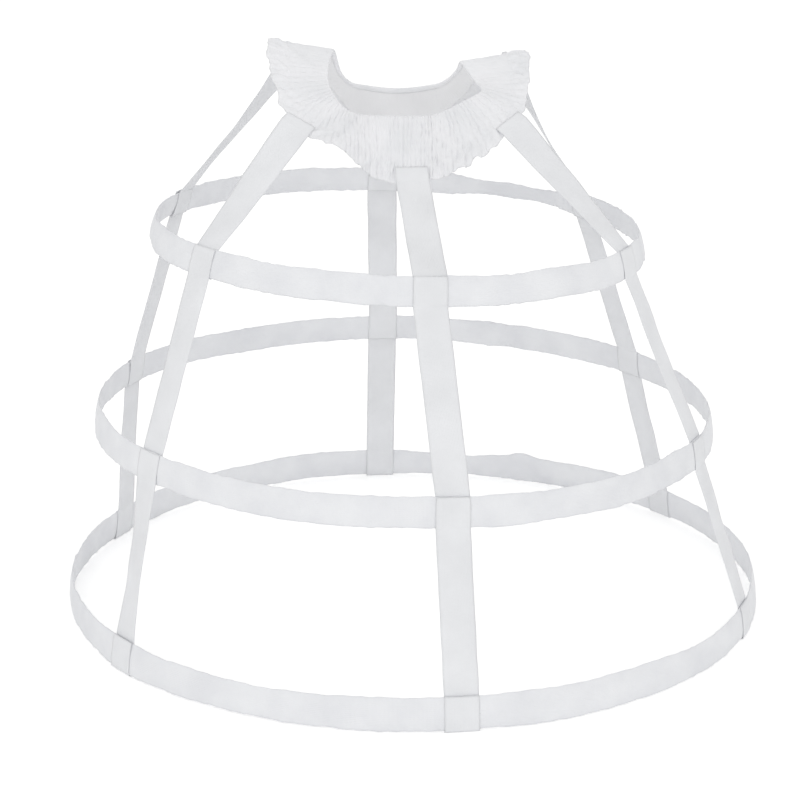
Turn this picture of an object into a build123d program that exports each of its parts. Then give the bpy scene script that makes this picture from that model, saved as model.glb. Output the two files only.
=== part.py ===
from build123d import *
import os
from math import cos, degrees, hypot, radians, sin, sqrt

# A crinoline cage: three boned hoops hung on six lines of tape from a gathered elastic waistband.
# Millimetres and degrees. The origin is on the floor under the middle of the lowest hoop.
# Azimuth 0 is the front, -Y, and grows towards +X, the right-hand side seen from the front.

# Hoops, from the top down. Radius and level are those of the middle of the casing.
hoop_1_radius = 227.0
hoop_2_radius = 291.0
hoop_3_radius = 330.0
hoop_1_level = 357.0
hoop_2_level = 182.0
# The cage hangs a little askew: each upper hoop sits to the left and dips to the right.
hoop_1_shift = -14.0
hoop_2_shift = -8.0
hoop_1_dip = 2.2
hoop_2_dip = 1.2
# A casing leans in at its top edge, as the cone of tapes does.
hoop_1_lean = 16.0
hoop_2_lean = 10.0
hoop_3_lean = 8.0

# The casing is a flat sleeve of cloth, sewn along both edges, with the bone in its middle.
hoop_1_casing_width = 26.0
hoop_2_casing_width = 27.0
hoop_3_casing_width = 30.0
casing_cloth = 0.4
# The bone is a flat strip bent into a ring. A flat metal sleeve holds its two ends.
bone_width = 8.0
bone_thickness = 0.8
bone_end_gap = 2.0
joiner_length = 36.0
joiner_wall = 0.3
joiner_play = 0.1
casing_play = 0.15
# Azimuth of the joint in each hoop.
hoop_1_joint = -2.0
hoop_2_joint = 26.0
hoop_3_joint = -10.0

# The tapes, and the slack between a tape and what it is sewn to.
tape_width = 30.0
tape_thickness = 0.8
sewn_gap = 0.3
waist_gap = 0.9
turn_radius = 1.2
# Azimuth of each line of tape at the waist and at hoops 1, 2 and 3.
tape_lines = {
    "front": (8, 7, 8, 7),
    "right": (63, 63, 64, 67),
    "right_back": (122, 127, 127, 127),
    "back": (185, 186, 186, 186),
    "left_back": (-120, -115, -115, -117),
    "left_front": (-54, -46, -51, -55),
}

# The waistband is held up at azimuths -107 and 107, where it folds over flat, and droops between.
waist_shift = -15.0
waist_radius = 70.0
waist_level = 476.0
frill_radius = 112.0
frill_level = 428.0
# Azimuth, how far out and up the top edge stands from the waist's radius and level, and the same
# for the frill's free edge.
waist_folds = (
    (-150, 0, 6, -22, 8),
    (-138, -3, 11, -8, 42),
    (-125, -6, 22, 3, 75),
    (-107, -9, 45, 10, 99),
    (-92, -7, 36, 7, 92),
    (-75, -5, 21, 4, 71),
    (-58, -4, 11, 2, 44),
    (-45, -3, 3, -6, 28),
    (-30, 0, 0, -17, 21),
    (-15, 3, 0, -8, 6),
    (0, 4, 0, 0, -2),
    (15, 1, -1, -2, -1),
    (30, -4, -2, -5, 4),
    (55, 0, 6, 0, 23),
    (74, 10, 14, 8, 49),
    (92, 2, 20, 10, 75),
    (107, -7, 34, 16, 88),
    (125, -3, 22, 6, 72),
    (138, -1, 12, -8, 40),
    (150, 0, 6, -22, 8),
    (180, 4, 0, -22, -8),
)
# A flat elastic lies inside the upper part of the frill and draws it into gathers.
elastic_share = 0.64
elastic_thickness = 1.2
elastic_gap = 0.45
frill_cloth = 0.6
gathers = 72
gather_depth_at_seam = 0.8
gather_depth_at_edge = 2.2
frill_flare = 2.0
tape_lap = 18.0
# A tape leaves the frill just past its free edge, and turns evenly on its way down.
tape_leaves = 1.04
span_steps = 5

# What the pieces share.
void_thickness = bone_thickness + 2 * (joiner_play + joiner_wall + casing_play)
void_width = bone_width + 2 * (joiner_play + joiner_wall + casing_play)
casing_seam = 2 * casing_cloth


def hoop(name, radius, shift, level, dip, lean, width, joint):
    """A hoop's sizes, with the plane that it lies in."""
    turn = radians(dip)
    plane = Plane(origin=(shift, 0, level), x_dir=(cos(turn), 0, -sin(turn)), z_dir=(sin(turn), 0, cos(turn)))
    return {"name": name, "radius": radius, "plane": plane, "lean": lean, "width": width, "joint": joint}


def hoop_3_level():
    """The lowest casing stands on the loops of tape that pass under it."""
    half_height = hoop_3_casing_width / 2 * cos(radians(hoop_3_lean))
    half_edge = casing_seam / 2 * sin(radians(hoop_3_lean))
    return tape_thickness + sewn_gap + half_height + half_edge


hoops = [
    hoop("hoop_1", hoop_1_radius, hoop_1_shift, hoop_1_level, hoop_1_dip, hoop_1_lean,
         hoop_1_casing_width, hoop_1_joint),
    hoop("hoop_2", hoop_2_radius, hoop_2_shift, hoop_2_level, hoop_2_dip, hoop_2_lean,
         hoop_2_casing_width, hoop_2_joint),
    hoop("hoop_3", hoop_3_radius, 0.0, hoop_3_level(), 0.0, hoop_3_lean,
         hoop_3_casing_width, hoop_3_joint),
]


def casing_frame(ring, azimuth):
    """Centre of the casing at an azimuth, with its outward, upward and sideways directions."""
    plane, lean = ring["plane"], radians(ring["lean"])
    radial = plane.x_dir * sin(radians(azimuth)) - plane.y_dir * cos(radians(azimuth))
    face = radial * cos(lean) + plane.z_dir * sin(lean)
    rise = plane.z_dir * cos(lean) - radial * sin(lean)
    return plane.origin + radial * ring["radius"], face, rise, face.cross(rise)


def section_plane(ring, azimuth):
    """Plane of a casing's cross section: x points outwards and y along the casing's height."""
    centre, face, rise, side = casing_frame(ring, azimuth)
    return Plane(origin=centre, x_dir=face, z_dir=side)


def hoop_axis(ring):
    """Axis that the hoop's section turns about."""
    return Axis(ring["plane"].origin, ring["plane"].z_dir)


def arc_degrees(ring, length):
    """Angle that a length takes along the hoop."""
    return degrees(length / ring["radius"])


def casing_bulge(ring):
    """Thickness of a casing at its middle, where the cloth passes over the bone's channel."""
    half = ring["width"] / 2
    shoulder = void_thickness + 2 * casing_cloth
    return casing_seam + (shoulder - casing_seam) * half / (half - void_width / 2)


def casing(ring):
    """A sleeve: thin at its two sewn edges and thicker over the bone, with the bone's channel."""
    half, seam, bulge = ring["width"] / 2, casing_seam / 2, casing_bulge(ring) / 2
    with BuildPart() as sleeve:
        with BuildSketch(section_plane(ring, 90)):
            with BuildLine():
                Polyline(
                    (seam, half), (bulge, 0), (seam, -half),
                    (-seam, -half), (-bulge, 0), (-seam, half),
                    close=True,
                )
            make_face()
            Rectangle(void_thickness, void_width, mode=Mode.SUBTRACT)
        revolve(axis=hoop_axis(ring), revolution_arc=360)
    return sleeve


def bone(ring):
    """A flat strip in a ring that stops short of itself at the joint."""
    gap = arc_degrees(ring, bone_end_gap)
    with BuildPart() as strip:
        with BuildSketch(section_plane(ring, ring["joint"] + gap / 2)):
            Rectangle(bone_thickness, bone_width)
        revolve(axis=hoop_axis(ring), revolution_arc=360 - gap)
    return strip


def joiner(ring):
    """A flat metal sleeve over the two ends of the bone."""
    bore_thickness = bone_thickness + 2 * joiner_play
    bore_width = bone_width + 2 * joiner_play
    reach = arc_degrees(ring, joiner_length)
    with BuildPart() as sleeve:
        with BuildSketch(section_plane(ring, ring["joint"] - reach / 2)):
            Rectangle(bore_thickness + 2 * joiner_wall, bore_width + 2 * joiner_wall)
            Rectangle(bore_thickness, bore_width, mode=Mode.SUBTRACT)
        revolve(axis=hoop_axis(ring), revolution_arc=reach)
    return sleeve


def fold(azimuth):
    """The waistband's offsets at an azimuth, on a smooth closed curve through its stations."""
    before = [(row[0] - 360, *row[1:]) for row in waist_folds[-2:]]
    beyond = [(row[0] + 360, *row[1:]) for row in waist_folds[:2]]
    rows = [*before, *waist_folds, *beyond]
    turn = (azimuth - rows[2][0]) % 360 + rows[2][0]
    index = max(place for place, row in enumerate(rows[:-2]) if row[0] <= turn)
    start, end = rows[index], rows[index + 1]
    share = (turn - start[0]) / (end[0] - start[0])
    return [smooth(rows[index - 1], start, end, rows[index + 2], share, column) for column in range(1, 5)]


def smooth(earlier, start, end, later, share, column):
    """One offset between two stations, leaving and arriving in line with the stations beyond."""
    length = end[0] - start[0]
    leaving = (end[column] - earlier[column]) / (end[0] - earlier[0]) * length
    arriving = (later[column] - start[column]) / (later[0] - start[0]) * length
    rise = end[column] - start[column]
    bend = (3 * rise - 2 * leaving - arriving) * share ** 2 + (leaving + arriving - 2 * rise) * share ** 3
    return start[column] + leaving * share + bend


def waist_line(azimuth):
    """Top edge and lower edge of the waistband at an azimuth, as (radius, height) pairs."""
    top_out, top_up, edge_out, edge_up = fold(azimuth)
    top = Vector(waist_radius + top_out, waist_level + top_up)
    edge = Vector(frill_radius + edge_out, frill_level + edge_up)
    return top, edge


def waist_outward(top, edge):
    """Direction that the outer face of the waistband looks in, in its upright section plane."""
    fall = (edge - top).normalized()
    return Vector(-fall.Y, fall.X)


def waist_plane(azimuth):
    """Upright plane through the waist's middle, with x pointing outwards."""
    radial = Vector(sin(radians(azimuth)), -cos(radians(azimuth)), 0)
    return Plane(origin=(waist_shift, 0, 0), x_dir=radial, z_dir=radial.cross(Vector(0, 0, 1)))


def gather_centre(share, wave):
    """Distance of the frill's cloth from the elastic's middle: wave runs from -1 to 1."""
    free = max(0.0, share - elastic_share) / (1 - elastic_share)
    depth = gather_depth_at_seam + (gather_depth_at_edge - gather_depth_at_seam) * free
    return elastic_thickness / 2 + elastic_gap + frill_cloth / 2 + frill_flare * free + depth * (1 + wave)


def elastic_outline(azimuth):
    """Corners of the flat elastic's section."""
    top, edge = waist_line(azimuth)
    out = waist_outward(top, edge) * (elastic_thickness / 2)
    seam = top + (edge - top) * elastic_share
    return top + out, seam + out, seam - out, top - out


def frill_outline(azimuth, wave):
    """Corners of the gathered cloth's section, over the elastic and past it to the free edge."""
    top, edge = waist_line(azimuth)
    out = waist_outward(top, edge)
    seam = top + (edge - top) * elastic_share
    shares = ((top, 0.0), (seam, elastic_share), (edge, 1.0))
    inner = [point + out * (gather_centre(share, wave) - frill_cloth / 2) for point, share in shares]
    outer = [point + out * (gather_centre(share, wave) + frill_cloth / 2) for point, share in shares]
    return *inner, *reversed(outer)


def cloth(rings, closed):
    """Solid of flat triangles between sections, each the corners down one face and back up the other."""
    half = len(rings[0]) // 2
    faces = []
    for ring, after in zip(rings, rings[1:] + rings[:1] if closed else rings[1:]):
        for index in range(2 * half):
            first, second, third, fourth = ring[index - 1], ring[index], after[index], after[index - 1]
            if index > half:
                first, second, third, fourth = second, third, fourth, first
            faces.append(Face(Wire.make_polygon([first, second, third])))
            faces.append(Face(Wire.make_polygon([first, third, fourth])))
    if not closed:
        faces += [Face(Wire.make_polygon(rings[0])), Face(Wire.make_polygon(rings[-1]))]
    return Solid(Shell(faces))


def waist_ring(azimuth, outline):
    """A waistband section's corners in space."""
    plane = waist_plane(azimuth)
    return [plane.from_local_coords((corner.X, corner.Y, 0)) for corner in outline]


def waist_turns():
    """Azimuths of the waistband's sections: two for each gather."""
    return [180 * step / gathers for step in range(2 * gathers)]


def waist_elastic():
    """The elastic, a smooth band round the waist."""
    with BuildPart() as band:
        add(cloth([waist_ring(turn, elastic_outline(turn)) for turn in waist_turns()], closed=True))
    return band


def waist_frill():
    """The gathered cloth: one fold out and one fold in for each gather."""
    rings = [
        waist_ring(turn, frill_outline(turn, 1 if step % 2 else -1))
        for step, turn in enumerate(waist_turns())
    ]
    with BuildPart() as frill:
        add(cloth(rings, closed=True))
    return frill


def gather_top(azimuth, share):
    """Point on the outermost fold of the frill."""
    top, edge = waist_line(azimuth)
    out = waist_outward(top, edge) * (gather_centre(share, 1) + frill_cloth / 2)
    point = top + (edge - top) * share + out
    return waist_plane(azimuth).from_local_coords((point.X, point.Y, 0))


def on_waist(azimuth, share):
    """Point of a tape that lies on the frill, clear of the folds under both of its edges."""
    middle = gather_top(azimuth, share)
    radius = hypot(middle.X - waist_shift, middle.Y)
    spread = degrees(tape_width / 2 / radius)
    left, right = gather_top(azimuth - spread, share), gather_top(azimuth + spread, share)
    across = left - right
    fall = middle - gather_top(azimuth, share - tape_lap / frill_radius)
    outward = across.cross(fall).normalized()
    lift = max(0.0, (left - middle).dot(outward), (right - middle).dot(outward))
    return middle + outward * (lift + waist_gap + tape_thickness / 2), across


def on_casing(ring, azimuth, height, side):
    """Point of a tape beside a casing, outside it for side 1 and inside it for side -1."""
    centre, face, rise, across = casing_frame(ring, azimuth)
    sagitta = 0.0
    if side < 0:
        sagitta = ring["radius"] - sqrt(ring["radius"] ** 2 - (tape_width / 2) ** 2)
    depth = casing_bulge(ring) / 2 + sewn_gap + tape_thickness / 2 + sagitta
    return centre + rise * height + face * side * depth, across


def turn_under(ring, azimuth, side):
    """The two stations where a tape beside a casing turns under it, to lie flat on the floor."""
    point, across = on_casing(ring, azimuth, 0, side)
    centre, face, rise, side_line = casing_frame(ring, azimuth)
    above = point - rise * ((point.Z - tape_thickness / 2 - turn_radius) / rise.Z)
    inwards = Vector(centre.X - point.X, centre.Y - point.Y, 0).normalized()
    below = above + inwards * turn_radius - Vector(0, 0, turn_radius)
    return [(above, across), (below, across)]


def tape(stations):
    """A flat tape through stations, each a point and the direction across the tape."""
    points = [point for point, across in stations]
    rings = []
    for index, (point, across) in enumerate(stations):
        before = (point - points[index - 1]).normalized() if index else None
        after = (points[index + 1] - point).normalized() if index + 1 < len(points) else before
        along = ((before or after) + after).normalized()
        side = (across - along * across.dot(along)).normalized()
        half_width = side * (tape_width / 2)
        half_depth = along.cross(side) * (tape_thickness / 2 / along.dot(after))
        rings.append([
            point + half_width + half_depth,
            point - half_width + half_depth,
            point - half_width - half_depth,
            point + half_width - half_depth,
        ])
    with BuildPart() as strip:
        add(cloth(rings, closed=False))
    return strip


def span(start, end):
    """The stations of a tape's free length, from one station to just before the next."""
    shares = [step / span_steps for step in range(span_steps)]
    return [
        (start[0] + (end[0] - start[0]) * share, start[1].normalized() * (1 - share) + end[1] * share)
        for share in shares
    ]


def upper_tape(line):
    """From its seam on the waistband, over the frill and down behind hoop 1."""
    waist, first = line[0], line[1]
    ring = hoops[0]
    half = ring["width"] / 2
    top, edge = waist_line(waist)
    return tape([
        on_waist(waist, 1 - tape_lap / (edge - top).length),
        *span(on_waist(waist, tape_leaves), on_casing(ring, first, half, -1)),
        on_casing(ring, first, half, -1),
        on_casing(ring, first, -half, -1),
    ])


def middle_tape(line):
    """From the top of hoop 1, over the face of its casing and down behind hoop 2."""
    above, below = hoops[0], hoops[1]
    half_above, half_below = above["width"] / 2, below["width"] / 2
    return tape([
        on_casing(above, line[1], half_above, 1),
        *span(on_casing(above, line[1], -half_above, 1), on_casing(below, line[2], half_below, -1)),
        on_casing(below, line[2], half_below, -1),
        on_casing(below, line[2], -half_below, -1),
    ])


def lower_tape(line):
    """From the top of hoop 2 down behind hoop 3, under it and up its face to the top edge."""
    above, below = hoops[1], hoops[2]
    half_above, half_below = above["width"] / 2, below["width"] / 2
    return tape([
        on_casing(above, line[2], half_above, 1),
        *span(on_casing(above, line[2], -half_above, 1), on_casing(below, line[3], half_below, -1)),
        on_casing(below, line[3], half_below, -1),
        *turn_under(below, line[3], -1),
        *reversed(turn_under(below, line[3], 1)),
        on_casing(below, line[3], half_below, 1),
    ])


def save(piece, label):
    """Labels a finished piece and writes it under that name."""
    piece.part.label = label
    export_step(piece.part, f"parts/{label}.step")


os.makedirs("parts", exist_ok=True)

for ring in hoops:
    save(casing(ring), ring["name"] + "_casing")
    save(bone(ring), ring["name"] + "_bone")
    save(joiner(ring), ring["name"] + "_joiner")

save(waist_elastic(), "waist_elastic")
save(waist_frill(), "waist_frill")

for name, line in tape_lines.items():
    save(upper_tape(line), f"tape_{name}_upper")
    save(middle_tape(line), f"tape_{name}_middle")
    save(lower_tape(line), f"tape_{name}_lower")
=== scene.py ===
import bpy
import numpy as np
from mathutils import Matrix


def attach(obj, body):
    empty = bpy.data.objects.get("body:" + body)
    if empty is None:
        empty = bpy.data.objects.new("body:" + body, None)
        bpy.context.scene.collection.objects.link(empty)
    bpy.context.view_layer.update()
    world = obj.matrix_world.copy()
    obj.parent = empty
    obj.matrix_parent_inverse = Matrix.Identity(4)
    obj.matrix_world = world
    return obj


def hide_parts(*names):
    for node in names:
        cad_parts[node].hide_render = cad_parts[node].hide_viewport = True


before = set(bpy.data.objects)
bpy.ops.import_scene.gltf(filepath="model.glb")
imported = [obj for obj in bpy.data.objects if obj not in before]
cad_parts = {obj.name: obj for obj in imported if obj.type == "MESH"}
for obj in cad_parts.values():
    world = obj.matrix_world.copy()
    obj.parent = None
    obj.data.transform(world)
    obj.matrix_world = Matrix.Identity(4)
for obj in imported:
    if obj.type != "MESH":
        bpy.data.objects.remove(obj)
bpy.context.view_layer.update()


# The camera stands where the photographer stood: 2.1 m in front of the cage's middle and 0.3 m
# above its waistband, looking 17.3 degrees down with a long lens.
camera = bpy.data.objects.new("camera", bpy.data.cameras.new("camera"))
camera.location = (-0.012, -2.0986, 0.844)
camera.rotation_euler = (np.radians(90 - 17.3), 0, 0)
camera.data.sensor_width = 36
camera.data.lens = 103.5
bpy.context.scene.collection.objects.link(camera)
bpy.context.scene.camera = camera
bpy.context.scene.view_settings.view_transform = "Standard"


def linear(colour):
    """The linear RGBA of an sRGB hex colour such as "e6e6ea": each channel through the sRGB curve."""
    channels = np.array([int(colour[place:place + 2], 16) for place in (0, 2, 4)]) / 255
    curved = np.where(channels <= 0.04045, channels / 12.92, ((channels + 0.055) / 1.055) ** 2.4)
    return (*curved, 1.0)


def add_node(tree, kind, inputs=None, **options):
    """Adds a node, sets its options, and gives each named input a value or another node's output."""
    node = tree.nodes.new(kind)
    for option, value in options.items():
        setattr(node, option, value)
    for name, value in (inputs or {}).items():
        if isinstance(value, bpy.types.NodeSocket):
            tree.links.new(value, node.inputs[name])
        else:
            node.inputs[name].default_value = value
    return node


# The studio is white all round. One wide soft lamp in front, above and to the left, gives the cloth
# its faint shading, and a low one fills the inner faces of the far side. The camera sees the
# surroundings as plain white.
world = bpy.data.worlds.new("white_studio")
bpy.context.scene.world = world
world.use_nodes = True
tree = world.node_tree
tree.nodes.clear()
ray = add_node(tree, "ShaderNodeLightPath")
seen = add_node(tree, "ShaderNodeMath",
                {0: ray.outputs["Is Camera Ray"], 1: ray.outputs["Is Glossy Ray"]}, operation="MAXIMUM")
seen = add_node(tree, "ShaderNodeMath", {0: seen.outputs[0], 1: ray.outputs["Is Transmission Ray"]},
                operation="MAXIMUM")
ambient = add_node(tree, "ShaderNodeBackground", {"Color": linear("fffffe"), "Strength": 0.90})
white = add_node(tree, "ShaderNodeBackground", {"Color": (1, 1, 1, 1), "Strength": 1.0})
shown = add_node(tree, "ShaderNodeMixShader",
                 {0: seen.outputs[0], 1: ambient.outputs[0], 2: white.outputs[0]})
add_node(tree, "ShaderNodeOutputWorld", {"Surface": shown.outputs[0]})

lamp = bpy.data.objects.new("softbox", bpy.data.lights.new("softbox", "AREA"))
lamp.data.shape = "RECTANGLE"
lamp.data.size, lamp.data.size_y = 1.6, 1.2
lamp.data.energy = 3
lamp.location = (-0.8, -2.0, 1.9)
lamp.rotation_euler = (np.radians(50), 0, np.radians(-22))
bpy.context.scene.collection.objects.link(lamp)
fill = bpy.data.objects.new("low_fill", bpy.data.lights.new("low_fill", "AREA"))
fill.data.shape = "RECTANGLE"
fill.data.size, fill.data.size_y = 4.0, 1.2
fill.data.energy = 30
fill.location = (0.5, -6.0, 0.6)
fill.rotation_euler = (np.radians(87), 0, np.radians(5))
bpy.context.scene.collection.objects.link(fill)


# The floor is a pale board. It takes the cage's soft shadow, and is bright enough to the camera
# to meet the white behind it without a line.
board = bpy.data.meshes.new("floor")
board.from_pydata([(-30, -30, 0), (30, -30, 0), (30, 30, 0), (-30, 30, 0)], [], [(0, 1, 2, 3)])
floor = bpy.data.objects.new("floor", board)
bpy.context.scene.collection.objects.link(floor)
paint = bpy.data.materials.new("pale_matt_board")
paint.use_nodes = True
tree = paint.node_tree
tree.nodes.clear()
ray = add_node(tree, "ShaderNodeLightPath")
matt = add_node(tree, "ShaderNodeBsdfDiffuse", {"Color": linear("fcfcfc")})
glow = add_node(tree, "ShaderNodeEmission", {"Color": (1, 1, 1, 1), "Strength": 0.22})
lifted = add_node(tree, "ShaderNodeAddShader", {0: matt.outputs[0], 1: glow.outputs[0]})
shown = add_node(tree, "ShaderNodeMixShader",
                 {0: ray.outputs["Is Camera Ray"], 1: matt.outputs[0], 2: lifted.outputs[0]})
add_node(tree, "ShaderNodeOutputMaterial", {"Surface": shown.outputs[0]})
board.materials.append(paint)


# Each hoop is a flat sleeve of white woven tape, two layers sewn together along both edges, with a
# spring bone in the channel between the seams. The cloth puckers along its seams, and creases
# slantwise where the bone's curve gathers it.
hoops = {
    "hoop_1": {"radius": 227.0, "shift": -14.0, "level": 357.0, "dip": 2.2, "lean": 16.0, "width": 26.0},
    "hoop_2": {"radius": 291.0, "shift": -8.0, "level": 182.0, "dip": 1.2, "lean": 10.0, "width": 27.0},
    "hoop_3": {"radius": 330.0, "shift": 0.0, "level": 16.01, "dip": 0.0, "lean": 8.0, "width": 30.0},
}
# The azimuth of each line of tape, in degrees, at the waistband and at each hoop from the top down.
lines = {
    "front": (7, 7, 8, 7),
    "right": (63, 65, 66.5, 69),
    "right_back": (124, 126, 127, 127),
    "back": (185, 184, 184.5, 186),
    "left_back": (-125, -112, -112, -115),
    "left_front": (-52, -48.5, -50.5, -52),
}
# Where the cloth is bunched up or sits askew on its bone: azimuth and spread in degrees, the height
# lost as a share, the lean added in degrees, and the lift in millimetres.
pinches = {
    "hoop_1": ((142, 9, 0.42, 5, -0.5), (157, 7, 0.36, 5, -0.5), (-80, 7, 0.10, -5, 0),
               (-108, 5, 0.12, 6, 0)),
    "hoop_2": ((-104, 8, 0.08, -6, 0), (30, 6, 0.04, 3, 0), (-145, 22, 0, 0, -3),
               (150, 16, 0, 0, -1.5), (55, 8, 0, 0, 1.5)),
    "hoop_3": ((171, 9, 0.22, 3, -2.5), (158, 2.5, -0.12, -6, 2), (-160, 9, 0, 0, 1.5),
               (-140, 6, 0.1, -6, 0), (-75, 12, 0.12, -3, 1.5), (-28, 14, 0.1, 3, -1.2),
               (55, 9, 0.12, 0, -1.5), (125, 12, 0.05, 0, 1.5)),
}


def ripple(angle, waves, seed):
    """A wandering wave round the hoop, about -1 to 1: the sum of nine cosines of whole numbers of
    waves near the wanted number, with seeded phases."""
    draw = np.random.default_rng(seed)
    numbers = np.unique(np.round(waves * np.linspace(0.55, 1.7, 9))).astype(int)
    phases = draw.uniform(0, 2 * np.pi, len(numbers))
    turns = np.radians(angle)[..., None] * numbers + phases
    return np.cos(turns).sum(-1) / np.sqrt(len(numbers) * 2.2)


def near(angle, place, spread):
    """1 at a place on the hoop and 0 away from it: a bell of the angle between, measured round."""
    apart = (angle - place + 180) % 360 - 180
    return np.exp(-(apart / spread) ** 2)


def casing_frame(hoop, angle):
    """Middle line of a casing with its outward and upward directions. The middle is on a circle in
    the dipped plane, and the section leans in by the hoop's lean."""
    dip, lean, turn = np.radians(hoop["dip"]), np.radians(hoop["lean"]), np.radians(angle)[..., None]
    ahead = np.array([np.cos(dip), 0, -np.sin(dip)])
    above = np.array([np.sin(dip), 0, np.cos(dip)])
    radial = ahead * np.sin(turn) - np.array([0, 1.0, 0]) * np.cos(turn)
    face = radial * np.cos(lean) + above * np.sin(lean)
    rise = above * np.cos(lean) - radial * np.sin(lean)
    middle = np.array([hoop["shift"], 0, hoop["level"]]) + radial * hoop["radius"]
    return middle, face, rise


def grid_mesh(name, grid, along, across, round_rows, round_columns, capped=False):
    """A mesh of four-sided faces on a grid of points in millimetres. Rows or columns may close on
    themselves, and closed rows have their faces turned to point outwards. capped joins the first
    half of each end row to its second half. The UV map is the lengths along and across the cloth, in
    metres."""
    rows, columns = grid.shape[:2]
    row = np.arange(rows if round_rows else rows - 1)[:, None]
    column = np.arange(columns if round_columns else columns - 1)[None, :]
    corner_rows = np.stack(np.broadcast_arrays(row, row + 1, row + 1, row + 0 * column), -1)
    corner_columns = np.stack(np.broadcast_arrays(column, column, column + 1, column + 1 + 0 * row), -1)
    faces = ((corner_rows % rows) * columns + corner_columns % columns).reshape(-1, 4)
    maps = np.stack([along[corner_rows], across[corner_columns]], -1).reshape(-1, 4, 2)
    if capped:
        first = np.arange(columns // 2 - 1)
        ring = np.stack([first, first + 1, columns - 2 - first, columns - 1 - first], -1)
        caps = np.concatenate([ring, ring[:, ::-1] + (rows - 1) * columns])
        faces = np.concatenate([faces, caps])
        maps = np.concatenate([maps, np.stack([along[caps // columns], across[caps % columns]], -1)])
    if round_rows:
        faces, maps = faces[:, ::-1], maps[:, ::-1]
    mesh = bpy.data.meshes.new(name)
    mesh.vertices.add(rows * columns)
    mesh.vertices.foreach_set("co", (grid * 0.001).astype(np.float32).ravel())
    mesh.loops.add(faces.size)
    mesh.loops.foreach_set("vertex_index", faces.ravel().astype(np.int32))
    mesh.polygons.add(len(faces))
    mesh.polygons.foreach_set("loop_start", np.arange(0, faces.size, 4, dtype=np.int32))
    mesh.polygons.foreach_set("use_smooth", np.ones(len(faces), bool))
    mesh.update(calc_edges=True)
    layer = mesh.uv_layers.new(name="cloth_lengths")
    layer.data.foreach_set("uv", (maps * 0.001).astype(np.float32).ravel())
    mesh.validate()
    piece = bpy.data.objects.new(name, mesh)
    bpy.context.scene.collection.objects.link(piece)
    return piece


def casing_grid(name, hoop, angles, heights, side, wall):
    """Points of a sleeve's cloth: the height runs down the outer face and up the inner one, and the
    cloth stands off the middle by the lens of the channel, plus the puckers and creases. wall moves
    the points into the cloth, for its inner side."""
    seed = int(name[-1]) * 10
    angle, share = angles[:, None] + 0 * heights, heights + 0 * angles[:, None]
    half = hoop["width"] / 2
    middle, face, rise = casing_frame(hoop, angle)
    bells = [(near(angle, place, spread), *change) for place, spread, *change in pinches[name]]
    pinch, turned, sagged = (sum(row[0] * row[part] for row in bells) for part in (1, 2, 3))
    taped = [line[int(name[-1])] for line in lines.values()]
    # 23 mm to each side of a tape the cloth is held flat by it, and 33 mm to each side the seams pull.
    flat_spread, pulled_spread = 1300 / hoop["radius"], 1900 / hoop["radius"]
    held = np.minimum(1.6 * sum(near(angle, place, flat_spread) for place in taped), 1)
    sewn = sum(near(angle, place, pulled_spread) for place in taped)
    seam = np.abs(share) ** 3
    slant = angle + 3.0 * share * side
    puckers = 0.34 * seam * (1 + 0.8 * sewn - 1.6 * held) * ripple(slant, 150, seed + (side > 0))
    creases = 0.36 * (1 + pinch) * ripple(angle + 2.2 * share, 46, seed + 2)
    creases = creases + 0.30 * ripple(angle - 4.0 * share, 70, seed + 3) * (1 - 0.4 * seam)
    sway = 0.25 * ripple(angle, 13, seed + 4)
    swell = np.cos(np.pi / 2 * np.abs(share) ** 1.15) ** 0.8
    sewn_edge, channel = 0.42, 1.42
    bulge = channel * swell * (1 + 0.6 * np.abs(pinch))
    wrinkles = (creases * (0.5 + 0.5 * seam) + sway) * (1 - held)
    depth = side * (sewn_edge + bulge - wall) + puckers * side + wrinkles
    reach = half * (1 - pinch) + 0.5 * ripple(angle, 24, seed + 6) + 0.35 * ripple(angle, 90, seed + 7)
    lift = 0.7 * ripple(angle, 9, seed + 8) + sagged
    twist = np.radians(turned + 2.0 * ripple(angle, 11, seed + 9))[..., None]
    height = (share * (reach - wall) + lift)[..., None]
    depth = depth[..., None]
    out = face * np.cos(twist) + rise * np.sin(twist)
    up = rise * np.cos(twist) - face * np.sin(twist)
    place = middle + up * height + out * depth
    # The lowest hoop rests 0.3 mm off the floor, and 1 mm higher on the loops of tape.
    off_floor, loop = 0.3, 1
    place[..., 2] = np.maximum(place[..., 2], off_floor + loop * np.minimum(2 * held, 1))
    return place


def casing(name, hoop, steps):
    """The sleeve's outer side, a closed tube round the hoop, and its inner side, turned to face the
    channel: together the two sides of one cloth."""
    angles = np.arange(steps) * 360 / steps
    down = np.sin(np.linspace(np.pi / 2, -np.pi / 2, 15))
    outer = np.concatenate([
        casing_grid(name, hoop, angles, down[:-1], 1, 0.0),
        casing_grid(name, hoop, angles, down[:0:-1], -1, 0.0),
    ], axis=1)
    length = 2 * np.pi * hoop["radius"]
    across = np.linspace(0, 2 * hoop["width"], outer.shape[1] + 1)
    piece = grid_mesh(name + "_cloth", outer, np.linspace(0, length, steps + 1), across, True, True)
    channel, cloth = np.linspace(0.80, -0.80, 8), 0.32
    inner = np.concatenate([
        casing_grid(name, hoop, angles, channel[:-1], -1, cloth),
        casing_grid(name, hoop, angles, channel[:0:-1], 1, cloth),
    ], axis=1)
    across = np.linspace(0, 2 * hoop["width"], inner.shape[1] + 1)
    lining = grid_mesh(name + "_lining", inner, np.linspace(0, length, steps + 1), across, True, True)
    with bpy.context.temp_override(active_object=piece, selected_editable_objects=[piece, lining]):
        bpy.ops.object.join()
    return piece


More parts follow.
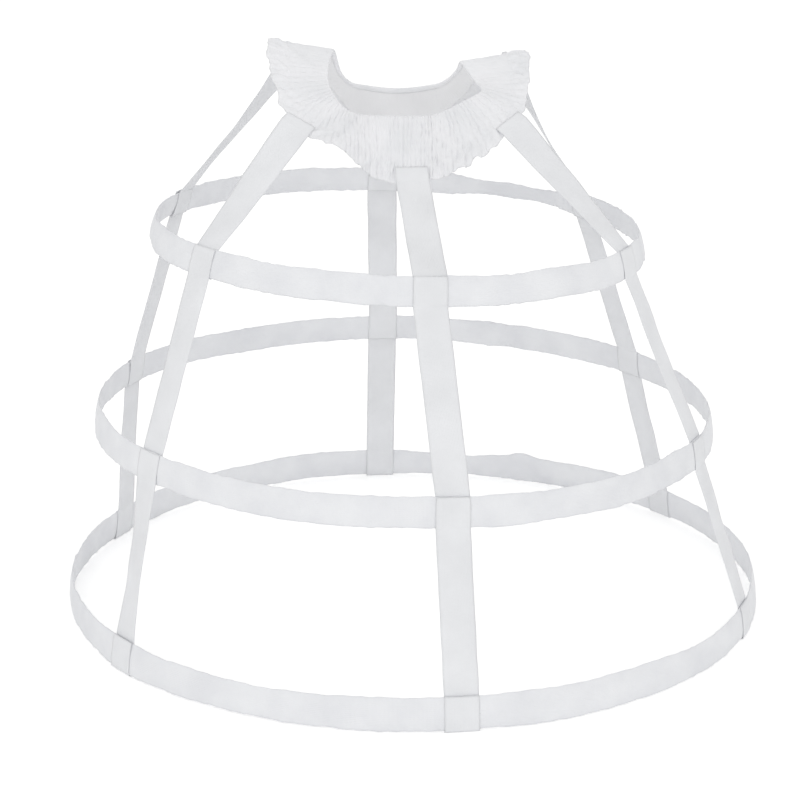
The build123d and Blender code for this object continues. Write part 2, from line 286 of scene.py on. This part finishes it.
def woven(name, colour, shade, thread, roughness):
    """Woven white polyester tape: a plain weave of fine threads, drawn as coarse as it needs to show,
    with the cloudy unevenness of cloth that has been handled. colour and shade are its two tones."""
    material = bpy.data.materials.new(name)
    material.use_nodes = True
    tree = material.node_tree
    shader = tree.nodes["Principled BSDF"]
    lengths = add_node(tree, "ShaderNodeTexCoord").outputs["UV"]
    place = add_node(tree, "ShaderNodeTexCoord").outputs["Object"]
    cloud = add_node(tree, "ShaderNodeTexNoise", {"Vector": place, "Scale": 1 / 0.035, "Detail": 4.0})
    tone = add_node(tree, "ShaderNodeValToRGB", {"Fac": cloud.outputs["Fac"]})
    tone.color_ramp.elements[0].position, tone.color_ramp.elements[1].position = 0.32, 0.66
    tone.color_ramp.elements[0].color = linear(shade)
    tone.color_ramp.elements[1].color = linear(colour)
    tree.links.new(tone.outputs["Color"], shader.inputs["Base Color"])
    waves = {"wave_type": "BANDS", "wave_profile": "SIN"}
    per_metre = 2 * np.pi / 20 / thread
    warp = add_node(tree, "ShaderNodeTexWave", {"Vector": lengths, "Scale": per_metre, "Distortion": 0.6},
                    bands_direction="X", **waves)
    weft = add_node(tree, "ShaderNodeTexWave", {"Vector": lengths, "Scale": per_metre, "Distortion": 0.6},
                    bands_direction="Y", **waves)
    weave = add_node(tree, "ShaderNodeMath", {0: warp.outputs["Fac"], 1: weft.outputs["Fac"]},
                     operation="MULTIPLY")
    rumple = add_node(tree, "ShaderNodeTexNoise", {"Vector": place, "Scale": 1 / 0.009, "Detail": 5.0})
    height = add_node(tree, "ShaderNodeMath", {0: rumple.outputs["Fac"], 1: 2.2, 2: weave.outputs[0]},
                      operation="MULTIPLY_ADD")
    bump = add_node(tree, "ShaderNodeBump",
                    {"Height": height.outputs[0], "Strength": 0.5, "Distance": 0.00035})
    tree.links.new(bump.outputs["Normal"], shader.inputs["Normal"])
    shader.inputs["Roughness"].default_value = roughness
    shader.inputs["IOR"].default_value = 1.48
    shader.inputs["Sheen Weight"].default_value = 0.12
    shader.inputs["Sheen Roughness"].default_value = 0.5
    return material


casing_tape = woven("white_woven_casing_tape", "edeef1", "e5e6ea", 0.0011, 0.8)
# The columns of points round a hoop are 2 mm apart.
spacing = 2.0
for name, hoop in hoops.items():
    sleeve = casing(name, hoop, int(2 * np.pi * hoop["radius"] / spacing))
    sleeve.data.materials.append(casing_tape)
    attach(sleeve, "root")
    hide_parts(name + "_casing")


# The bones are flat strips of spring steel in white enamel, smooth and faintly glossy to the eye. A
# short flat sleeve of zinc-plated steel, a dull grey with fine brush marks, holds the two ends of
# each. All six are shut inside their casings.
enamel = bpy.data.materials.new("white_enamelled_spring_steel")
enamel.use_nodes = True
tree = enamel.node_tree
shader = tree.nodes["Principled BSDF"]
place = add_node(tree, "ShaderNodeTexCoord").outputs["Object"]
grime = add_node(tree, "ShaderNodeTexNoise", {"Vector": place, "Scale": 1 / 0.02, "Detail": 6.0})
tone = add_node(tree, "ShaderNodeValToRGB", {"Fac": grime.outputs["Fac"]})
tone.color_ramp.elements[0].color = linear("dcdcda")
tone.color_ramp.elements[1].color = linear("ececea")
tree.links.new(tone.outputs["Color"], shader.inputs["Base Color"])
shader.inputs["Roughness"].default_value = 0.35
shader.inputs["IOR"].default_value = 1.5
zinc = bpy.data.materials.new("brushed_zinc_plated_steel")
zinc.use_nodes = True
tree = zinc.node_tree
shader = tree.nodes["Principled BSDF"]
place = add_node(tree, "ShaderNodeTexCoord").outputs["Object"]
brushed = add_node(tree, "ShaderNodeMapping", {"Vector": place, "Scale": (1.0, 1.0, 14.0)})
grain = add_node(tree, "ShaderNodeTexNoise",
                 {"Vector": brushed.outputs[0], "Scale": 1 / 0.004, "Detail": 5.0})
tone = add_node(tree, "ShaderNodeValToRGB", {"Fac": grain.outputs["Fac"]})
tone.color_ramp.elements[0].color = linear("9a9b9f")
tone.color_ramp.elements[1].color = linear("b9babd")
tree.links.new(tone.outputs["Color"], shader.inputs["Base Color"])
shader.inputs["Metallic"].default_value = 1.0
shader.inputs["Roughness"].default_value = 0.38
for name in hoops:
    for part, material in (("_bone", enamel), ("_joiner", zinc)):
        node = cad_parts[name + part]
        node.data.materials.clear()
        node.data.materials.append(material)


# The waistband's elastic is a woven rubber webbing, 36 mm wide, that lies smooth inside the gathers.
# It is held up at the two sides, so it hangs in a saddle, low in front and behind.
# It stands 15 mm to the left of the lowest hoop's middle. Its top edge is about 70 mm out and 476 mm
# up, the ruffle's edge about 112 mm out and 428 mm up, and its slope is about 66 mm long. Each row of
# folds is an azimuth, and how far out and up the top edge and then the ruffle's edge stand from that.
waist_shift, top_edge, ruffle_edge, slope = -15, [70, 476], [112, 428], 66
folds = np.array([
    (-150, 0, 6, -22, 8), (-138, -3, 11, -8, 42), (-125, -6, 22, 3, 75), (-107, -9, 45, 10, 99),
    (-92, -7, 36, 7, 92), (-75, -5, 21, 4, 71), (-58, -4, 11, 2, 44), (-45, -3, 3, -6, 28),
    (-30, 0, 0, -17, 21), (-15, 3, 0, -8, 6), (0, 4, 0, 0, -2), (15, 1, -1, -2, -1),
    (30, -4, -2, -5, 4), (55, 0, 6, 0, 23), (74, 10, 14, 8, 49), (92, 2, 20, 10, 75),
    (107, -7, 34, 16, 88), (125, -3, 22, 5, 70), (138, -1, 12, -2, 32), (150, 0, 6, -22, 8),
    (180, 4, 0, -22, -8),
], float)


def fold(angle):
    """The band's four offsets at an angle: a closed cubic curve through the stations, which leaves
    each one in line with its two neighbours."""
    turn = [360, 0, 0, 0, 0]
    rows = np.concatenate([folds[-2:] - turn, folds, folds[:2] + turn])
    place = (angle - folds[0, 0]) % 360 + folds[0, 0]
    index = np.searchsorted(rows[:, 0], place, side="right") - 1
    earlier, start, end, later = (rows[index + step] for step in (-1, 0, 1, 2))
    length = (end - start)[..., :1]
    share = (place[..., None] - start[..., :1]) / length
    leaving = (end - earlier) / (end - earlier)[..., :1] * length
    arriving = (later - start) / (later - start)[..., :1] * length
    rise = end - start
    bend = (3 * rise - 2 * leaving - arriving) * share ** 2 + (leaving + arriving - 2 * rise) * share ** 3
    return (start + leaving * share + bend)[..., 1:]


def band_point(angle, share, off):
    """A point on the waistband: share runs down its slope, from 0 at the top edge to 1 at the ruffle's
    edge, and off is the distance out from the elastic's middle. In each upright plane through the
    waist the slope is a straight line between the two edges."""
    turn, offsets = np.radians(angle), fold(angle)
    top = offsets[..., :2] + top_edge
    edge = offsets[..., 2:] + ruffle_edge
    fall = (edge - top) / np.linalg.norm(edge - top, axis=-1, keepdims=True)
    out = np.stack([-fall[..., 1], fall[..., 0]], -1)
    flat = top + (edge - top) * share[..., None] + out * off[..., None]
    across, back = flat[..., 0] * np.sin(turn) + waist_shift, -flat[..., 0] * np.cos(turn)
    return np.stack([across, back, flat[..., 1]], -1)


def band_grid(angles, shares, offs):
    """Points of the band for every angle and every step of a section given by shares and offs."""
    angle = angles[:, None] + 0 * shares
    return band_point(angle, shares + 0 * angle, offs + 0 * angle)


steps = 360
angles = np.arange(steps) * 360 / steps
columns, half_web = 18, 0.55
down = np.linspace(0.0, 0.62, columns)
shares = np.concatenate([down, down[::-1]])
ribs = 0.08 * np.cos(shares * 190)
offs = np.concatenate([np.full(columns, half_web), np.full(columns, -half_web)]) + ribs
# The four corners of the section are rounded off.
offs[[0, columns - 1, columns, 2 * columns - 1]] *= 0.6
elastic = grid_mesh("waist_elastic_web", band_grid(angles, shares, offs), np.linspace(0, 442, steps + 1),
                    np.linspace(0, 80, 2 * columns + 1), True, True)
webbing = woven("ribbed_elastic_webbing", "f1f1f3", "ebebed", 0.0013, 0.85)
elastic.data.materials.append(webbing)
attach(elastic, "root")
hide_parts("waist_elastic")


# The gathered cloth is one long strip of plain-weave polyester. Its top edge is turned over the
# elastic, rows of stitching draw it up into about a hundred and ten fine gathers, and below the last
# row it opens into a loose ruffle with a narrow hem.
gathers = 112
# Shares of the slope where the stitched rows run, the share past which the cloth is free, how far
# its middle level stands off the elastic's middle, and the least that it may.
stitched_rows, last_row, level_off, least_off = np.array([0.06, 0.20, 0.34, 0.48, 0.62]), 0.64, 1.95, 0.85


def gathered(angle, share):
    """Distance of the cloth from the elastic's middle. Each gather is a round fold of uneven width
    between sharp creases, and runs down to the front, not straight out. Stitched rows pin it down
    and shift it a little. Past the last row it swells into lumps, except where a tape is sewn over
    it."""
    free = np.clip((share - last_row) / (1 - last_row), 0, 1)
    ahead = (angle + 180) % 360 - 180
    leant = angle + 22 * np.sin(np.radians(2 * ahead)) * np.exp(-(ahead / 50) ** 2) * share
    drift = 70 * ripple(leant, 19, 61) + 45 * ripple(leant + 25 * share, 33, 62)
    drift = drift + 30 * ripple(angle - 60 * share, 12, 67)
    phase = gathers * leant + drift
    fine_phase = np.radians(91.5 * leant + 40 * ripple(angle + 50 * share, 27, 68))
    fine = 2 * np.abs(np.cos(fine_phase)) ** 0.8 - 1.2
    pleat = 2.3 * np.abs(np.cos(np.radians(phase / 2))) ** 0.8 - 1.3
    pair = np.cos(np.radians(phase / 2 + 40 * ripple(angle, 15, 63)))
    pinned = np.exp(-((share[..., None] - stitched_rows) / 0.022) ** 2).sum(-1)
    uneven = 0.8 + 0.4 * ripple(angle + 9 * share, 31, 64) + 0.4 * ripple(angle - 30 * share, 57, 65)
    flap = near(np.abs(ahead), 100, 22)
    pressed = sum(near(angle, line[0], 9) for line in lines.values())
    tight = 0.66 * (1 - 0.6 * pinned) * np.clip(uneven, 0.1, 1.5) * (1 - 0.72 * flap)
    lumps = np.sin(np.pi * np.clip(free * 1.1, 0, 1)) * ripple(leant + 25 * share, 52, 69) * (1 + flap)
    soft = 0.5 * flap * ripple(angle + 30 * share, 24, 70)
    swell = 0.8 + 0.4 * ripple(angle, 37, 66)
    loose = free ** 0.5 * (0.75 * pleat + 0.8 * pair + 0.35 * fine) * swell + 1.3 * lumps
    loose = loose * (1 - 0.65 * pressed)
    groove = 0.45 * np.exp(-((share - 0.66) / 0.03) ** 2)
    rest = level_off + 2.2 * free * (1 - 0.5 * flap) * (1 - 0.3 * pressed) - groove
    rest = rest + soft * np.clip(share * 4, 0, 1)
    off = rest + tight * (pleat + 0.5 * fine) * (1 - free) + loose * (1 - 0.35 * flap)
    return np.maximum(off, least_off)


def frill_section(angles, shares, wall):
    """The outer side of the cloth, or with a wall its inner side, which keeps off the elastic. Below 0
    the cloth turns over the elastic's top edge, on a half circle, and ends just inside it. Past the
    last row the hem waves up and down."""
    angle, share = angles[:, None] + 0 * shares, shares + 0 * angles[:, None]
    ahead = (angle + 180) % 360 - 180
    level = 1 - 0.8 * near(np.abs(ahead), 112, 16)
    waves = (0.030 * ripple(angle, 26, 71) + 0.016 * ripple(angle, 58, 72)) * level
    edge = waves + 0.07 * near(angle, -2, 34) - 0.13 * near(angle, 117, 12)
    over = np.clip(-share / 0.06, 0, 1) * np.pi
    off = level_off + (gathered(angle, share) - level_off) * np.cos(over / 2) ** 2
    # The inner side of the elastic's cover, the top of the half circle, and the elastic's outer face.
    inside, top, face = 1.3, 0.022, 0.72
    wall = np.minimum(wall, off - face)
    rounded = (off + inside) / 2 * np.cos(over) + (off - inside) / 2
    turned = np.where(share < 0, rounded, off)
    raised = (wall / slope - top) * np.sin(over) + np.maximum(-share - 0.06, 0)
    lifted = np.where(share < 0, raised, share)
    lifted = lifted + np.clip((share - last_row) / (1 - last_row), 0, 1) * edge
    return band_point(angle, lifted, turned - wall * np.where(share < 0, np.cos(over), 1.0))


steps = gathers * 13
angles = np.arange(steps) * 360 / steps
down = np.concatenate([np.linspace(-0.12, -0.06, 3), np.linspace(-0.045, 0, 4),
                       np.linspace(0.025, 1.0, 34)])
back, cloth = down[::-1][::2], 0.45
grid = np.concatenate([frill_section(angles, down, 0.0), frill_section(angles, back, cloth)], axis=1)
frill = grid_mesh("waist_frill_cloth", grid, np.linspace(0, 760, steps + 1),
                  np.concatenate([down, back, down[:1]]) * slope, True, True)
gathered_cloth = woven("white_plain_weave_polyester", "f2f2f5", "eaebee", 0.0010, 0.82)
frill.data.materials.append(gathered_cloth)
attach(frill, "root")
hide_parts("waist_frill")


# Six lines of 30 mm woven tape join the waistband to the hoops. Each line is three lengths. A length
# is sewn over the ruffle or over a casing's face, hangs straight, and ends behind the next casing;
# the last one passes under the lowest hoop and back up its face.
# Half a tape's width and thickness, and its play over the cloth under it, are in millimetres.
half_width, half_thickness, play = 15, 0.24, 0.12


def unit(vector):
    """A vector's direction."""
    return vector / np.linalg.norm(vector, axis=-1, keepdims=True)


def under_tape(name, angle, side):
    """A casing's cloth under a tape's width, outside for side 1: the heights of its points above the
    hoop's middle line, and their depths out from it."""
    spread = np.degrees((half_width + 1) / hoops[name]["radius"])
    angles, heights = angle + np.linspace(-spread, spread, 33), np.linspace(1, -1, 61)
    cloth = casing_grid(name, hoops[name], angles, heights, side, 0.0)
    middle, face, rise = casing_frame(hoops[name], angles[:, None] + 0 * heights)
    return ((cloth - middle) * rise).sum(-1), side * ((cloth - middle) * face).sum(-1)


def down_casing(name, angle, side):
    """Stations of a tape down a casing's face, or its inner side for side -1, from the top edge to the
    lower edge: the tape's middle, the direction across it, and how it curls, in millimetres for each
    square millimetre across. It lies on the cloth that stands out most near it."""
    hoop = hoops[name]
    middle, face, rise = casing_frame(hoop, np.array(float(angle)))
    heights, depths = under_tape(name, angle, side)
    levels, window = np.linspace(hoop["width"] / 2, -hoop["width"] / 2, 13), 1.7
    offs = [half_thickness + play + depths[np.abs(heights - level) < window].max() for level in levels]
    return [(middle + rise * level + face * side * off, np.cross(face, rise), -face / 2 / hoop["radius"])
            for level, off in zip(levels, offs)]


def crest(angle, share):
    """A point on the tips of the ruffle's folds, pressed down under a tape."""
    free = max(0.0, share - last_row) / (1 - last_row)
    return band_point(np.array(float(angle)), np.array(share), np.array(2.8 + 1.9 * free))


def on_frill(angle, target, lap, bent, clear):
    """Stations of a tape over the ruffle's edge, from lap millimetres above it: flat on the folds, and
    in line with the way that it then hangs to its target, or bent to run straight up the slope and
    some way clear of the folds."""
    edge, above = 1.02, 0.8
    middle = crest(angle, edge)
    spread = np.degrees(half_width / np.hypot(middle[0] - waist_shift, middle[1]))
    left, right = crest(angle - spread, edge), crest(angle + spread, edge)
    outward = unit(np.cross(left - right, middle - crest(angle, above)))
    lift = max(0.0, (left - middle) @ outward, (right - middle) @ outward) + clear
    hanging = target - middle
    along = unit(middle - crest(angle, above)) if bent else unit(hanging - outward * (hanging @ outward))
    return [(middle + outward * (lift + 0.45) + along * reach, np.cross(along, outward), np.zeros(3))
            for reach in np.linspace(-lap, 1, 4)]


def turn_under(angle):
    """Stations round the lowest casing's bottom edge, on a half circle from inside to outside."""
    middle, face, rise = casing_frame(hoops["hoop_3"], np.array(float(angle)))
    curl = -face / 2 / hoops["hoop_3"]["radius"]
    lowest = min(under_tape("hoop_3", angle, side)[0].min() for side in (-1, 1))
    centre, bend = middle + rise * (0.25 + lowest), 1.25
    return [(centre - (rise * np.sin(turn) + face * np.cos(turn)) * bend, np.cross(face, rise), curl)
            for turn in np.linspace(0, np.pi, 7)]


def tape(name, stations, seed, sewn, twist=0.0):
    """A flat strip along stations, sampled every 2 mm: a closed section of 13 points each side is
    carried along. It bows and wanders a little where it hangs free and puckers where it is sewn."""
    points, sides, curls = (np.array([station[part] for station in stations]) for part in range(3))
    reach = np.concatenate([[0], np.cumsum(np.linalg.norm(np.diff(points, axis=0), axis=1))])
    total = reach[-1]
    places = np.unique(np.round(np.concatenate([np.linspace(0, total, int(total / 2)), reach]), 3))
    line, side, curl = (np.stack([np.interp(places, reach, values[:, axis]) for axis in range(3)], -1)
                        for values in (points, unit(sides), curls))
    along = unit(np.gradient(line, places, axis=0))
    side = unit(side - along * (side * along).sum(-1, keepdims=True))
    out = np.cross(along, side)
    hang = np.clip((places - reach[sewn[0]]) / (reach[sewn[1]] - reach[sewn[0]]), 0, 1)
    free = np.sin(np.pi * hang)[:, None] ** 0.6
    turn = np.radians(twist) * free ** 1.5
    side, out = side * np.cos(turn) + out * np.sin(turn), out * np.cos(turn) - side * np.sin(turn)
    share = np.linspace(-1, 1, 13)
    wander = places[:, None] * 360 / 500
    bow = free * (0.8 * ripple(wander, 2.2, seed) + 0.35 * ripple(wander + 22 * share, 7, seed + 1))
    gripped = np.exp(-(places / 5) ** 2)[:, None]
    bow = bow + 0.22 * gripped * ripple(260 * share + places[:, None] * 4, 3, seed + 2)
    half = half_width * (1 - 0.012 * ripple(wander, 9, seed + 3)) * (1 - 0.03 * gripped)
    selvedge = 0.05 * np.exp(-((np.abs(share) - 0.9) / 0.06) ** 2)
    thick = np.where(np.abs(share) == 1, 0.10, half_thickness + selvedge)
    face = np.concatenate([bow + thick, (bow - thick)[:, ::-1]], axis=1)
    spread = np.concatenate([share * half, (share * half)[:, ::-1]], axis=1)
    grid = line[:, None] + side[:, None] * spread[..., None] + out[:, None] * face[..., None]
    grid = grid + curl[:, None] * spread[..., None] ** 2
    piece = grid_mesh(name + "_strip", grid, places, np.linspace(0, 60, 27), False, True, capped=True)
    piece.data.materials.append(strap_tape)
    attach(piece, "root")
    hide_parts(name)
    return piece, total


strap_tape = woven("white_woven_strap_tape", "eaebee", "e4e5e8", 0.0012, 0.78)
# How far a slack length turns about its own line between its two seams, in degrees.
twists = {"left_back_upper": -13, "right_back_upper": 34, "left_front_lower": 12}
# How far each line laps over the ruffle, in millimetres, whether it bends there, and how far it
# stands clear of the folds.
laps = {"front": (14, False, 0), "right": (9, False, 0), "right_back": (5, True, 0),
        "back": (9, False, 0), "left_back": (9, True, 1.5), "left_front": (9, False, 0)}
for number, (name, line) in enumerate(lines.items()):
    seed = 100 + 20 * number
    behind = down_casing("hoop_1", line[1], -1)
    top = on_frill(line[0], behind[0][0], *laps[name])
    upper, length = tape("tape_" + name + "_upper", [*top, *behind], seed, (3, 4),
                         twists.get(name + "_upper", 0))
    middle, length = tape("tape_" + name + "_middle", [
        *down_casing("hoop_1", line[1], 1), *down_casing("hoop_2", line[2], -1)], seed + 5, (12, 13))
    inside, outside = down_casing("hoop_3", line[3], -1), down_casing("hoop_3", line[3], 1)
    lower, length = tape("tape_" + name + "_lower", [
        *down_casing("hoop_2", line[2], 1), *inside[:-1], *turn_under(line[3]), *outside[-2::-1]],
        seed + 10, (12, 13), twists.get(name + "_lower", 0))
